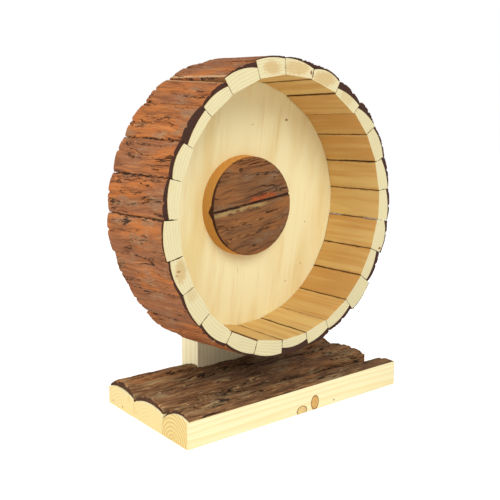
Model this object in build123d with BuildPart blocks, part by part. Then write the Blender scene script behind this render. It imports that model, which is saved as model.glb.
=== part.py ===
from build123d import *
from collections import namedtuple
from math import cos, radians, sin
import os

# Rodent exercise wheel: a drum of bark-covered staves on a round plywood back,
# turning on a ball bearing in front of a post that stands on a base of log slabs.
# Millimetres, +Z up. The origin is the middle of the base's underside.
# The drum's open side faces -Y, and the axle runs along Y.

# Base, measured over the three slabs glued edge to edge
BASE_LENGTH = 200.0
BASE_DEPTH = 105.0
BASE_FRONT = -BASE_DEPTH / 2
BASE_BACK = BASE_DEPTH / 2
BARK_END_SETBACK = 1.0

# Main furrows of the bark: depth, half width as a share of the piece, and their places
# across a slab at its left and right end, and across the staves on the open and back side
FURROW_DEPTH = 1.3
FURROW_HALF_WIDTH = 0.07
SLAB_FURROWS_LEFT = (0.30, 0.70)
SLAB_FURROWS_RIGHT = (0.36, 0.63)
STAVE_FURROWS_FRONT = (0.36, 0.60, 0.44, 0.66, 0.40, 0.56, 0.34)
STAVE_FURROWS_BACK = (0.44, 0.54, 0.38, 0.58, 0.50, 0.62, 0.42)

# Post behind the drum
POST_WIDTH = 70.0
POST_THICKNESS = 22.0
POST_FRONT = BASE_BACK - POST_THICKNESS
POST_FOOT = 8.0
POST_TOP = 182.0
POST_SHOULDER_RADIUS = 22.0
POST_BARK_GAP = 0.5

# Drum
AXLE_HEIGHT = 145.0
RIM_FRONT = -35.5
RIM_BACK = 27.5
DRUM_DEPTH = RIM_BACK - RIM_FRONT
DISC_FRONT = 18.5
DISC_THICKNESS = 8.0
DISC_BACK = DISC_FRONT + DISC_THICKNESS
DISC_RADIUS = 94.0
STAVE_JOINT = 0.08
BARK_SHOULDER_DROP = 1.0
BARK_JOINT_DROP = 1.4
BARK_JOINT_BEVEL = 0.07
BARK_LEAST = 0.9
BARK_RIM_SETBACK = 0.4

# Hub cap on the front of the disc
CAP_RADIUS = 38.2
CAP_TAPER = 5.0
CAP_WOOD = 10.0
CAP_BARK_MIDDLE = 3.0
CAP_BARK_EDGE = 1.4
CAP_GRAIN_TILT = 8.6
CAP_SPLIT_WIDTH = 2.4
CAP_SPLIT_DEPTH = 1.6
CAP_SPLIT_RISE = 3.0
CAP_VALLEY_DEPTH = 3.4
CAP_VALLEY_WIDTH = 11.0
CAP_RECESS_RADIUS = 7.0
CAP_RECESS_DEPTH = 7.6

# Axle: an M6 bolt through the post, a spacer, the bearing and a lock nut
BOLT_RADIUS = 3.0
BOLT_LENGTH = 35.0
BOLT_HOLE_RADIUS = 3.2
HEAD_RADIUS = 5.0
HEAD_HEIGHT = 6.0
HEAD_SOCKET_FLATS = 5.0
HEAD_SOCKET_DEPTH = 3.0
HEAD_RECESS_RADIUS = 6.5
HEAD_RECESS_DEPTH = 7.8
HEAD_WASHER_RADIUS = 6.0
HEAD_WASHER_THICKNESS = 1.6
SPACER_RADIUS = 4.75
SHIM_THICKNESS = 1.0
NUT_FLATS = 10.0
NUT_HEX_HEIGHT = 4.4
NUT_COLLAR_HEIGHT = 1.6
NUT_COLLAR_RADIUS = 4.7
NUT_INSERT_RADIUS = 4.0

# Ball bearing, 6 x 19 x 6
BEARING_WIDTH = 6.0
BEARING_FRONT = DISC_FRONT
BEARING_BACK = BEARING_FRONT + BEARING_WIDTH
BEARING_MIDDLE = BEARING_FRONT + BEARING_WIDTH / 2
BEARING_OUTER_RADIUS = 9.5
INNER_SHOULDER_RADIUS = 4.9
OUTER_SHOULDER_RADIUS = 7.6
SHIELD_SEAT_RADIUS = 7.9
SHIELD_SEAT_DEPTH = 0.5
SHIELD_THICKNESS = 0.3
SHIELD_INNER_RADIUS = 5.1
BALL_COUNT = 7
BALL_RADIUS = 1.75
BALL_CIRCLE = 6.25
RACE_RADIUS = 1.8
CAGE_POCKET_RADIUS = 1.83
CAGE_INNER_RADIUS = 5.6
CAGE_OUTER_RADIUS = 6.9
CAGE_WIDTH = 4.4
BEARING_LIP_RADIUS = 7.0

# Wood screws that hold the post, driven from under the back slab
SCREW_X = 20.0
SCREW_Y = POST_FRONT + POST_THICKNESS / 2
SCREW_RADIUS = 2.0
SCREW_HOLE_RADIUS = 2.2
SCREW_HEAD_RADIUS = 4.0
SCREW_HEAD_RECESS = 0.4
SCREW_LENGTH = 38.0
SCREW_POINT = 4.0
SCREW_RIM = 0.4
SCREW_SLOT = 1.0

# Each slab lies between two depths. Its front edge, crown and back edge give the round top
# as (distance from the slab's front edge, height), for the wood and for the bark over it. The
# logs weren't even, so each slab has one such section at its left end and one at its right.
Slab = namedtuple("Slab", "name front depth wood_left bark_left wood_right bark_right")
SLABS = [
    Slab("front", BASE_FRONT, 31.0,
         ((0, 18.5), (11.5, 20.1), (31, 9.6)), ((0, 19.4), (12, 23.6), (31, 13.0)),
         ((0, 19.2), (9, 17.8), (31, 6.4)), ((0, 20.6), (8, 20.9), (31, 8.4))),
    Slab("middle", BASE_FRONT + 31.0, 40.0,
         ((0, 14.0), (16.5, 16.4), (40, 10.2)), ((0, 16.4), (16, 21.0), (40, 13.4)),
         ((0, 8.0), (18, 16.8), (40, 13.4)), ((0, 18.6), (18, 21.6), (40, 18.0))),
    Slab("back", BASE_FRONT + 71.0, 34.0,
         ((0, 12.6), (19, 15.8), (34, 12.9)), ((0, 15.4), (15, 21.4), (34, 15.2)),
         ((0, 13.4), (18, 16.4), (34, 13.0)), ((0, 18.4), (15, 22.4), (34, 15.8))),
]

# The staves are split from slabs of different logs, so each has its own width and height.
# Angles are clockwise from the top, seen from the open side. A stave runs from its own
# angle to the next one's. Wood radii are at its first edge, middle and second edge. The bark
# radius is at its middle on the open side, and the back radius there on the other side, where
# the logs were thicker. The flat is the distance of its inner face from the axle.
Stave = namedtuple("Stave", "angle wood bark back flat")
STAVES = [
    Stave(11.5, (101.0, 104.2, 102.6), 106.0, 109.8, 93.2),
    Stave(27.0, (97.8, 100.4, 101.4), 105.2, 109.2, 92.4),
    Stave(42.0, (99.2, 103.0, 105.0), 107.0, 110.4, 93.6),
    Stave(55.0, (102.8, 104.6, 103.2), 107.0, 110.6, 93.7),
    Stave(69.5, (101.0, 103.4, 104.2), 106.8, 110.2, 93.2),
    Stave(83.5, (102.0, 104.2, 104.5), 107.2, 110.6, 93.7),
    Stave(97.5, (101.6, 105.4, 104.0), 107.5, 110.9, 92.6),
    Stave(112.0, (100.0, 101.8, 101.4), 106.0, 109.6, 92.6),
    Stave(126.0, (105.2, 106.4, 104.8), 107.6, 110.8, 93.2),
    Stave(140.5, (100.4, 101.8, 101.0), 105.2, 109.4, 93.2),
    Stave(156.0, (100.0, 102.0, 102.4), 105.6, 109.6, 92.6),
    Stave(169.0, (98.2, 100.0, 99.0), 105.0, 109.2, 92.8),
    Stave(183.5, (103.0, 104.2, 103.8), 105.8, 109.8, 92.8),
    Stave(198.0, (103.5, 104.2, 103.0), 106.2, 110.2, 93.7),
    Stave(213.0, (103.2, 104.8, 103.2), 106.8, 110.9, 93.7),
    Stave(228.0, (105.2, 104.8, 102.6), 106.4, 109.6, 92.6),
    Stave(242.0, (102.6, 104.2, 103.2), 106.0, 109.8, 92.4),
    Stave(256.0, (105.4, 105.6, 104.0), 106.8, 111.4, 92.8),
    Stave(270.5, (100.4, 102.4, 102.6), 105.8, 110.6, 92.6),
    Stave(285.0, (101.0, 102.6, 101.0), 105.6, 110.4, 92.8),
    Stave(298.5, (98.2, 99.4, 100.0), 105.6, 110.6, 93.2),
    Stave(313.5, (102.0, 102.2, 100.4), 105.2, 110.9, 93.2),
    Stave(327.0, (105.8, 105.2, 101.8), 107.2, 110.7, 93.4),
    Stave(342.5, (106.6, 106.4, 104.8), 107.6, 110.2, 93.7),
    Stave(356.5, (105.2, 104.2, 101.4), 106.2, 110.0, 93.6),
]

axle_axis = Axis((0, 0, AXLE_HEIGHT), (0, 1, 0))
# Half section through the axle: the sketch's x is the depth Y and its y the radius
axle_section = Plane(origin=(0, 0, AXLE_HEIGHT), x_dir=(0, 1, 0), z_dir=(1, 0, 0))

os.makedirs("parts", exist_ok=True)


def save(part, name):
    """Name a finished piece and write it to its own file."""
    part.label = name
    export_step(part, f"parts/{name}.step")


def across_axle(depth):
    """Plane square to the axle, centred on it, that faces the open side."""
    return Plane(origin=(0, depth, AXLE_HEIGHT), x_dir=(1, 0, 0), z_dir=(0, -1, 0))


def at_angle(angle, radius):
    """Sketch point at an angle clockwise from the top."""
    return (radius * sin(radians(angle)), radius * cos(radians(angle)))


def turned_ring(front, back, inner, outer):
    """Plain ring round the axle between two depths."""
    with BuildPart() as ring:
        with BuildSketch(across_axle(back)):
            Circle(outer)
            Circle(inner, mode=Mode.SUBTRACT)
        extrude(amount=back - front)
    return ring.part


def crown(points, place):
    """Height at a place on the smooth crown through three (place, height) points."""
    total = 0.0
    for own, height in points:
        for other, _ in points:
            if other != own:
                height *= (place - other) / (own - other)
        total += height
    return total


def furrowed_line(point, furrows, depth):
    """Crowned line with V furrows; point(share, sunk) gives its points from share 0 to 1."""
    start = 0.0
    with BuildLine() as line:
        for place in furrows:
            near, far = place - FURROW_HALF_WIDTH, place + FURROW_HALF_WIDTH
            ThreePointArc(point(start, 0), point((start + near) / 2, 0), point(near, 0))
            Polyline(point(near, 0), point(place, depth), point(far, 0))
            start = far
        ThreePointArc(point(start, 0), point((start + 1) / 2, 0), point(1, 0))
    return line.line


# Base slabs


def on_slab(slab, points):
    """The three points of a round top, moved to the slab's place in the base."""
    return [(slab.front + offset, height) for offset, height in points]


def wood_section(slab, x, wood):
    """Section of a slab's wood at one end, flat below."""
    first, crown, last = on_slab(slab, wood)
    with BuildSketch(Plane.YZ.offset(x)) as section:
        with BuildLine():
            Polyline(first, (first[0], 0), (last[0], 0), last)
            ThreePointArc(last, crown, first)
        make_face()
    return section.sketch


def bark_section(slab, x, wood, bark, furrows):
    """Section of the bark over a slab at one end, with its furrows."""
    first, middle, last = on_slab(slab, wood)

    def point(share, sunk):
        offset = share * slab.depth
        return (slab.front + offset, crown(bark, offset) - sunk)

    with BuildSketch(Plane.YZ.offset(x)) as section:
        with BuildLine():
            ThreePointArc(last, middle, first)
            Line(first, point(0, 0))
            add(furrowed_line(point, furrows, FURROW_DEPTH))
            Line(point(1, 0), last)
        make_face()
    return section.sketch


def post_notch(half_width, clearance=0.0):
    """Block that cuts the notch for the post out of the base's back edge."""
    front = POST_FRONT - clearance
    depth = BASE_BACK - front
    with BuildPart() as notch:
        with BuildSketch(Plane.XY.offset(POST_FOOT)):
            with Locations((0, front + depth / 2)):
                Rectangle(2 * half_width, depth)
        extrude(amount=POST_TOP)
    return notch.part


def screw_pair(shank_radius, head_depth):
    """The two countersunk post screws, with their heads' tops at a depth in the underside."""
    cone_top = SCREW_HEAD_RECESS + SCREW_HEAD_RADIUS - shank_radius
    point = SCREW_HEAD_RECESS + SCREW_LENGTH
    with BuildPart() as screws:
        for x in (-SCREW_X, SCREW_X):
            with BuildSketch(Plane(origin=(x, SCREW_Y, 0), x_dir=(1, 0, 0), z_dir=(0, -1, 0))):
                with BuildLine():
                    Polyline((0, head_depth), (SCREW_HEAD_RADIUS, head_depth),
                             (SCREW_HEAD_RADIUS, SCREW_HEAD_RECESS + SCREW_RIM),
                             (shank_radius, cone_top + SCREW_RIM),
                             (shank_radius, point - SCREW_POINT), (0, point), close=True)
                make_face()
            revolve(axis=Axis((x, SCREW_Y, 0), (0, 0, 1)))
    return screws.part


def base_slab(slab):
    """Half-round slab with a flat underside and sawn edges."""
    with BuildPart() as wood:
        loft([wood_section(slab, -BASE_LENGTH / 2, slab.wood_left),
              wood_section(slab, BASE_LENGTH / 2, slab.wood_right)])
        if slab.name == "back":
            add(post_notch(POST_WIDTH / 2), mode=Mode.SUBTRACT)
            add(screw_pair(SCREW_HOLE_RADIUS, 0.0), mode=Mode.SUBTRACT)
    return wood.part


def slab_bark(slab):
    """Layer of bark over a slab's round top, stopping short of its ends."""
    with BuildPart() as bark:
        loft([bark_section(slab, -BASE_LENGTH / 2, slab.wood_left, slab.bark_left,
                           SLAB_FURROWS_LEFT),
              bark_section(slab, BASE_LENGTH / 2, slab.wood_right, slab.bark_right,
                           SLAB_FURROWS_RIGHT)])
        with Locations((0, 0, POST_TOP / 2)):
            Box(BASE_LENGTH - 2 * BARK_END_SETBACK, 2 * BASE_DEPTH, POST_TOP,
                mode=Mode.INTERSECT)
        if slab.name == "back":
            add(post_notch(POST_WIDTH / 2 + POST_BARK_GAP, POST_BARK_GAP), mode=Mode.SUBTRACT)
    return bark.part


for slab in SLABS:
    save(base_slab(slab), f"base_slab_{slab.name}")
    save(slab_bark(slab), f"base_bark_{slab.name}")

# Post with its rounded shoulders, axle hole and recess for the bolt head

with BuildPart() as post:
    with BuildSketch(Plane.XZ.offset(-BASE_BACK)) as board:
        with Locations((0, (POST_FOOT + POST_TOP) / 2)):
            Rectangle(POST_WIDTH, POST_TOP - POST_FOOT)
        fillet(board.vertices().group_by(Axis.Y)[-1], POST_SHOULDER_RADIUS)
    extrude(amount=POST_THICKNESS)
    with BuildSketch(across_axle(BASE_BACK)):
        Circle(HEAD_RECESS_RADIUS)
    extrude(amount=HEAD_RECESS_DEPTH, mode=Mode.SUBTRACT)
    with BuildSketch(across_axle(BASE_BACK)):
        Circle(BOLT_HOLE_RADIUS)
    extrude(amount=POST_THICKNESS, mode=Mode.SUBTRACT)
    add(screw_pair(SCREW_RADIUS, SCREW_HEAD_RECESS), mode=Mode.SUBTRACT)
save(post.part, "post")

with BuildPart() as post_screws:
    add(screw_pair(SCREW_RADIUS, SCREW_HEAD_RECESS))
    with BuildSketch(Plane.XY):
        with Locations((-SCREW_X, SCREW_Y), (SCREW_X, SCREW_Y)):
            Rectangle(SCREW_HEAD_RADIUS, SCREW_SLOT)
            Rectangle(SCREW_SLOT, SCREW_HEAD_RADIUS)
    extrude(amount=SCREW_HEAD_RECESS + SCREW_SLOT, mode=Mode.SUBTRACT)
save(post_screws.part, "post_screws")

# Axle bolt, with its head sunk in the back of the post, and what it clamps

washer_back = BASE_BACK - HEAD_RECESS_DEPTH + HEAD_WASHER_THICKNESS

with BuildPart() as axle_bolt:
    with BuildSketch(across_axle(washer_back)):
        Circle(BOLT_RADIUS)
    extrude(amount=BOLT_LENGTH)
    chamfer(axle_bolt.edges().group_by(Axis.Y)[0], 0.5)
    with BuildSketch(across_axle(washer_back + HEAD_HEIGHT)):
        Circle(HEAD_RADIUS)
    extrude(amount=HEAD_HEIGHT)
    fillet(axle_bolt.edges().group_by(Axis.Y)[-1], 0.5)
    with BuildSketch(across_axle(washer_back + HEAD_HEIGHT)):
        RegularPolygon(HEAD_SOCKET_FLATS / 2, 6, major_radius=False)
    extrude(amount=HEAD_SOCKET_DEPTH, mode=Mode.SUBTRACT)
save(axle_bolt.part, "axle_bolt")

save(turned_ring(washer_back - HEAD_WASHER_THICKNESS, washer_back, BOLT_HOLE_RADIUS,
                 HEAD_WASHER_RADIUS), "bolt_head_washer")
save(turned_ring(BEARING_BACK, POST_FRONT, BOLT_RADIUS, SPACER_RADIUS), "axle_spacer")
save(turned_ring(BEARING_FRONT - SHIM_THICKNESS, BEARING_FRONT, BOLT_RADIUS, SPACER_RADIUS),
     "shim_washer")

nut_back = BEARING_FRONT - SHIM_THICKNESS
collar_back = nut_back - NUT_HEX_HEIGHT
nut_front = collar_back - NUT_COLLAR_HEIGHT

with BuildPart() as lock_nut:
    with BuildSketch(across_axle(nut_back)):
        RegularPolygon(NUT_FLATS / 2, 6, major_radius=False)
    extrude(amount=NUT_HEX_HEIGHT)
    with BuildSketch(across_axle(collar_back)):
        Circle(NUT_COLLAR_RADIUS)
    extrude(amount=NUT_COLLAR_HEIGHT)
    with BuildSketch(across_axle(nut_back)):
        Circle(BOLT_RADIUS)
    extrude(amount=nut_back - nut_front, mode=Mode.SUBTRACT)
    with BuildSketch(across_axle(collar_back)):
        Circle(NUT_INSERT_RADIUS)
    extrude(amount=NUT_COLLAR_HEIGHT, mode=Mode.SUBTRACT)
save(lock_nut.part, "lock_nut")
save(turned_ring(nut_front, collar_back, BOLT_RADIUS, NUT_INSERT_RADIUS), "lock_nut_insert")

# Ball bearing: both rings are turned with a round groove that the balls run in

with BuildPart() as bearing_inner_ring:
    with BuildSketch(axle_section):
        with BuildLine():
            Polyline((BEARING_FRONT, BOLT_RADIUS), (BEARING_BACK, BOLT_RADIUS),
                     (BEARING_BACK, INNER_SHOULDER_RADIUS),
                     (BEARING_FRONT, INNER_SHOULDER_RADIUS), close=True)
        make_face()
        with Locations((BEARING_MIDDLE, BALL_CIRCLE)):
            Circle(RACE_RADIUS, mode=Mode.SUBTRACT)
    revolve(axis=axle_axis)
save(bearing_inner_ring.part, "bearing_inner_ring")

with BuildPart() as bearing_outer_ring:
    seat_front = BEARING_FRONT + SHIELD_SEAT_DEPTH
    seat_back = BEARING_BACK - SHIELD_SEAT_DEPTH
    with BuildSketch(axle_section):
        with BuildLine():
            Polyline((BEARING_FRONT, BEARING_OUTER_RADIUS), (BEARING_FRONT, SHIELD_SEAT_RADIUS),
                     (seat_front, SHIELD_SEAT_RADIUS), (seat_front, OUTER_SHOULDER_RADIUS),
                     (seat_back, OUTER_SHOULDER_RADIUS), (seat_back, SHIELD_SEAT_RADIUS),
                     (BEARING_BACK, SHIELD_SEAT_RADIUS), (BEARING_BACK, BEARING_OUTER_RADIUS),
                     close=True)
        make_face()
        with Locations((BEARING_MIDDLE, BALL_CIRCLE)):
            Circle(RACE_RADIUS, mode=Mode.SUBTRACT)
    revolve(axis=axle_axis)
save(bearing_outer_ring.part, "bearing_outer_ring")

with BuildPart() as bearing_shields:
    for shield_back in (seat_front, seat_back + SHIELD_THICKNESS):
        with BuildSketch(across_axle(shield_back)):
            Circle(SHIELD_SEAT_RADIUS)
            Circle(SHIELD_INNER_RADIUS, mode=Mode.SUBTRACT)
        extrude(amount=SHIELD_THICKNESS)
save(bearing_shields.part, "bearing_shields")

with BuildPart(across_axle(BEARING_MIDDLE)) as bearing_balls:
    with PolarLocations(BALL_CIRCLE, BALL_COUNT):
        Sphere(BALL_RADIUS)
save(bearing_balls.part, "bearing_balls")

with BuildPart(across_axle(BEARING_MIDDLE)) as bearing_cage:
    Cylinder(CAGE_OUTER_RADIUS, CAGE_WIDTH)
    Cylinder(CAGE_INNER_RADIUS, CAGE_WIDTH, mode=Mode.SUBTRACT)
    with PolarLocations(BALL_CIRCLE, BALL_COUNT):
        Cylinder(CAGE_POCKET_RADIUS, BALL_CIRCLE, rotation=(0, 90, 0), mode=Mode.SUBTRACT)
save(bearing_cage.part, "bearing_cage")

# Plywood disc that closes the drum's back; a lip behind the bearing holds it in its bore

with BuildPart() as back_disc:
    with BuildSketch(across_axle(DISC_BACK)):
        Circle(DISC_RADIUS)
        Circle(BEARING_LIP_RADIUS, mode=Mode.SUBTRACT)
    extrude(amount=DISC_THICKNESS)
    with BuildSketch(across_axle(BEARING_BACK)):
        Circle(BEARING_OUTER_RADIUS)
    extrude(amount=BEARING_WIDTH, mode=Mode.SUBTRACT)
save(back_disc.part, "back_disc")

# Hub cap: a slice of two bark-covered slabs with a blind recess over the lock nut. Where the
# slabs meet, the wood has a valley that is deepest at the left edge and runs out at the
# right. The bark fills the valley and has a split above it. Both follow the grain, which
# rises slightly to the right.

cap_face = DISC_FRONT - CAP_WOOD
tilt = radians(CAP_GRAIN_TILT)
across_grain = (-sin(tilt), 0, cos(tilt))
grain_start = Vector(-CAP_RADIUS * cos(tilt), cap_face, AXLE_HEIGHT - CAP_RADIUS * sin(tilt))
valley_start = grain_start + Vector(0, CAP_VALLEY_DEPTH, 0)
valley_end = Vector(0, cap_face, AXLE_HEIGHT) * 2 - grain_start
grain_section = Plane(grain_start, x_dir=across_grain, z_dir=(cos(tilt), 0, sin(tilt)))
valley_section = Plane(valley_start, x_dir=across_grain, z_dir=valley_end - valley_start)


def cap_blank(thickness):
    """Round slice with the cap's tapered side."""
    with BuildPart() as blank:
        with BuildSketch(across_axle(DISC_FRONT)):
            Circle(CAP_RADIUS)
        extrude(amount=thickness, taper=CAP_TAPER)
    return blank.part


def cap_valley():
    """Wedge between the two slabs of the cap, as high as its wood."""
    with BuildPart() as valley:
        with BuildSketch(valley_section):
            with BuildLine():
                Polyline((CAP_SPLIT_RISE, 0),
                         (CAP_SPLIT_RISE + CAP_VALLEY_WIDTH, 2 * CAP_VALLEY_DEPTH),
                         (CAP_SPLIT_RISE - CAP_VALLEY_WIDTH, 2 * CAP_VALLEY_DEPTH), close=True)
            make_face()
        extrude(amount=2 * CAP_RADIUS)
        add(cap_blank(CAP_WOOD), mode=Mode.INTERSECT)
    return valley.part


with BuildPart() as hub_cap:
    add(cap_blank(CAP_WOOD))
    with BuildSketch(across_axle(DISC_FRONT)):
        Circle(CAP_RECESS_RADIUS)
    extrude(amount=CAP_RECESS_DEPTH, mode=Mode.SUBTRACT)
    add(cap_valley(), mode=Mode.SUBTRACT)
save(hub_cap.part, "hub_cap")

with BuildPart() as hub_cap_bark:
    with BuildSketch(grain_section):
        with BuildLine():
            Polyline((-CAP_RADIUS, CAP_BARK_EDGE), (-CAP_RADIUS, 0),
                     (CAP_RADIUS, 0), (CAP_RADIUS, CAP_BARK_EDGE))
            ThreePointArc((CAP_RADIUS, CAP_BARK_EDGE), (0, CAP_BARK_MIDDLE),
                          (-CAP_RADIUS, CAP_BARK_EDGE))
        make_face()
        with BuildLine():
            Polyline((CAP_SPLIT_RISE - CAP_SPLIT_WIDTH / 2, CAP_BARK_MIDDLE),
                     (CAP_SPLIT_RISE, CAP_BARK_MIDDLE - CAP_SPLIT_DEPTH),
                     (CAP_SPLIT_RISE + CAP_SPLIT_WIDTH / 2, CAP_BARK_MIDDLE), close=True)
        make_face(mode=Mode.SUBTRACT)
    extrude(amount=2 * CAP_RADIUS)
    add(cap_blank(CAP_WOOD + CAP_BARK_MIDDLE), mode=Mode.INTERSECT)
    add(cap_valley())
save(hub_cap_bark.part, "hub_cap_bark")

# Staves: each is mitred against its neighbours, flat inside, and round outside where the
# log was. The disc is let a little way into their inner faces.


def stave_span(index):
    """Angles of a stave's first edge, middle and last edge, with half a joint each side."""
    start = STAVES[index].angle
    end = STAVES[(index + 1) % len(STAVES)].angle
    if end < start:
        end += 360
    return start + STAVE_JOINT, (start + end) / 2, end - STAVE_JOINT


def stave_wood(index):
    """One stave with the seat for the disc."""
    stave = STAVES[index]
    first, middle, last = stave_span(index)
    corner = stave.flat / cos(radians(middle - first))
    with BuildPart() as wood:
        with BuildSketch(across_axle(RIM_BACK)):
            with BuildLine():
                Polyline(at_angle(first, stave.wood[0]), at_angle(first, corner),
                         at_angle(last, corner), at_angle(last, stave.wood[2]))
                ThreePointArc(at_angle(last, stave.wood[2]), at_angle(middle, stave.wood[1]),
                              at_angle(first, stave.wood[0]))
            make_face()
        extrude(amount=DRUM_DEPTH)
        with BuildSketch(across_axle(DISC_BACK)):
            Circle(DISC_RADIUS)
        extrude(amount=DISC_THICKNESS, mode=Mode.SUBTRACT)
    return wood.part


def stave_bark_section(index, depth, radius, furrow):
    """Section of a stave's bark at a depth, where its middle has the given radius."""
    stave = STAVES[index]
    first, middle, last = stave_span(index)
    bevel = BARK_JOINT_BEVEL * (last - first)
    start, end = first + bevel, last - bevel
    first_edge, last_edge = (max(radius - BARK_SHOULDER_DROP - BARK_JOINT_DROP,
                                 stave.wood[edge] + BARK_LEAST) for edge in (0, 2))
    shoulder = radius - BARK_SHOULDER_DROP
    furrow_depth = min(FURROW_DEPTH, radius - stave.wood[1] - BARK_LEAST)
    crowned = ((0, max(shoulder, first_edge)), (0.5, radius), (1, max(shoulder, last_edge)))

    def point(share, sunk):
        return at_angle(start + share * (end - start), crown(crowned, share) - sunk)

    with BuildSketch(across_axle(depth)) as section:
        with BuildLine():
            ThreePointArc(at_angle(last, stave.wood[2]), at_angle(middle, stave.wood[1]),
                          at_angle(first, stave.wood[0]))
            Polyline(at_angle(first, stave.wood[0]), at_angle(first, first_edge), point(0, 0))
            add(furrowed_line(point, [furrow], furrow_depth))
            Polyline(point(1, 0), at_angle(last, last_edge), at_angle(last, stave.wood[2]))
        make_face()
    return section.sketch


for index in range(len(STAVES)):
    save(stave_wood(index), f"stave_{index + 1:02d}")

with BuildPart() as stave_bark:
    for index, stave in enumerate(STAVES):
        kind = index % len(STAVE_FURROWS_FRONT)
        loft([stave_bark_section(index, RIM_BACK, stave.back, STAVE_FURROWS_BACK[kind]),
              stave_bark_section(index, RIM_FRONT + BARK_RIM_SETBACK, stave.bark,
                                 STAVE_FURROWS_FRONT[kind])])
save(stave_bark.part, "stave_bark")
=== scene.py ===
import random
from math import atan2, cos, pi, radians, sin, tan

import bmesh
import bpy
import numpy as np
from mathutils import Matrix, Vector


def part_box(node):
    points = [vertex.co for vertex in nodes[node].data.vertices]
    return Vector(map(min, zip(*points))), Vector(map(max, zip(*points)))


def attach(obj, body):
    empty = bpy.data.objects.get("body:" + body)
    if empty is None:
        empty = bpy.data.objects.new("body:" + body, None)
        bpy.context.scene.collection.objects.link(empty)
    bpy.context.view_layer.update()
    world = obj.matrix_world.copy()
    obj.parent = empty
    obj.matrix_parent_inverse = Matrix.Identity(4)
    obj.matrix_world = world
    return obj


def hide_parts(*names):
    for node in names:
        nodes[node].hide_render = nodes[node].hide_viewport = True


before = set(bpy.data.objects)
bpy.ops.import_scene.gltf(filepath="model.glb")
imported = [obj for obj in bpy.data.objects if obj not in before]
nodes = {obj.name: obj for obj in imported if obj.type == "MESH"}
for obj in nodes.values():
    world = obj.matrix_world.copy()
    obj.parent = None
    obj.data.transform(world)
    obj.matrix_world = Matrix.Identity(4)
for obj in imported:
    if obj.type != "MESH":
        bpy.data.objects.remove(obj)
scene = bpy.context.scene
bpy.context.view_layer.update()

# The wheel's looks: split staves with their bark, log slabs, post, plywood disc and hub cap.
# Shapes are worked out in millimetres about the CAD part's own measures and stored in metres.
MM = 0.001
AXLE_HEIGHT = 145.0
STAVE_COUNT = 25
GRAIN_TILT = radians(8.6)
# Rough distances from the axle, which turn a width on the drum into an angle: the staves'
# inner faces, the middle of their wood, the drum as a whole, the logs under their bark, and
# the bark
INNER_FACE_RADIUS = 94.0
WOOD_RADIUS = 98.0
DRUM_RADIUS = 100.0
LOG_SURFACE_RADIUS = 104.0
BARK_RADIUS = 105.0


def points_of(mesh):
    """A mesh's vertices in millimetres."""
    flat = np.empty(len(mesh.vertices) * 3)
    mesh.vertices.foreach_get("co", flat)
    return flat.reshape(-1, 3) / MM


def linear(red, green, blue):
    """A colour given in 0 to 255 as the linear values that a shader takes."""
    def channel(value):
        value /= 255
        return value / 12.92 if value <= 0.04045 else ((value + 0.055) / 1.055) ** 2.4
    return (channel(red), channel(green), channel(blue), 1.0)


# Node trees


class Wire:
    """A value in a node tree. Arithmetic on it adds Math nodes to the tree."""

    def __init__(self, graph, socket):
        self.graph = graph
        self.socket = socket

    def other(self, name):
        """Another output of the node that this value comes from."""
        return Wire(self.graph, self.socket.node.outputs[name])

    def __add__(self, value):
        return self.graph.math("ADD", self, value)

    def __radd__(self, value):
        return self.graph.math("ADD", value, self)

    def __sub__(self, value):
        return self.graph.math("SUBTRACT", self, value)

    def __rsub__(self, value):
        return self.graph.math("SUBTRACT", value, self)

    def __mul__(self, value):
        return self.graph.math("MULTIPLY", self, value)

    def __rmul__(self, value):
        return self.graph.math("MULTIPLY", value, self)

    def __truediv__(self, value):
        return self.graph.math("DIVIDE", self, value)

    def __abs__(self):
        return self.graph.math("ABSOLUTE", self)


class Graph:
    """Builds a node tree, for a finish or for a shape."""

    def __init__(self, tree):
        self.tree = tree

    def add(self, kind, inputs=None, output=0, **settings):
        node = self.tree.nodes.new(kind)
        for name, value in settings.items():
            setattr(node, name, value)
        for key, value in (inputs or {}).items():
            if isinstance(value, Wire):
                self.tree.links.new(value.socket, node.inputs[key])
            else:
                node.inputs[key].default_value = value
        return Wire(self, node.outputs[output])

    def math(self, operation, first, second=0.0):
        return self.add("ShaderNodeMath", {0: first, 1: second}, operation=operation)

    def vector(self, operation, first, second=(0, 0, 0), third=(0, 0, 0), output=0):
        return self.add("ShaderNodeVectorMath", {0: first, 1: second, 2: third}, output=output,
                        operation=operation)

    def combine(self, x, y, z):
        return self.add("ShaderNodeCombineXYZ", {0: x, 1: y, 2: z})

    def split(self, vector):
        x = self.add("ShaderNodeSeparateXYZ", {0: vector})
        return x, x.other("Y"), x.other("Z")

    def smooth(self, value, start, end, low=0.0, high=1.0):
        """Goes smoothly from low to high as the value goes from start to end."""
        return self.add("ShaderNodeMapRange", {0: value, 1: start, 2: end, 3: low, 4: high},
                        interpolation_type="SMOOTHSTEP")

    def mix(self, first, second, share):
        return self.add("ShaderNodeMix", {0: share, 2: first, 3: second})

    def tint(self, first, second, share, way="MIX"):
        """Blends two colours."""
        return self.add("ShaderNodeMix", {0: share, 6: first, 7: second}, output=2,
                        data_type="RGBA", blend_type=way)

    def largest(self, *values):
        result = values[0]
        for value in values[1:]:
            result = self.math("MAXIMUM", result, value)
        return result

    def scaled(self, point, size, shift):
        """The point in units of a pattern's size, moved by a shift."""
        parts = tuple(1.0 / part for part in size)
        return self.vector("MULTIPLY_ADD", point, parts, (shift, shift * 1.7, shift * 2.3))

    def noise(self, point, size, shift, detail=2.0, roughness=0.5):
        """Noise from 0 to 1 whose patches have a size along each axis. The shift is its seed."""
        return self.add("ShaderNodeTexNoise",
                        {"Vector": self.scaled(point, size, shift), "Scale": 1.0,
                         "Detail": detail, "Roughness": roughness})


# Bark and wood patterns. The shapes and their finishes share the bark's, so that both line up

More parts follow.
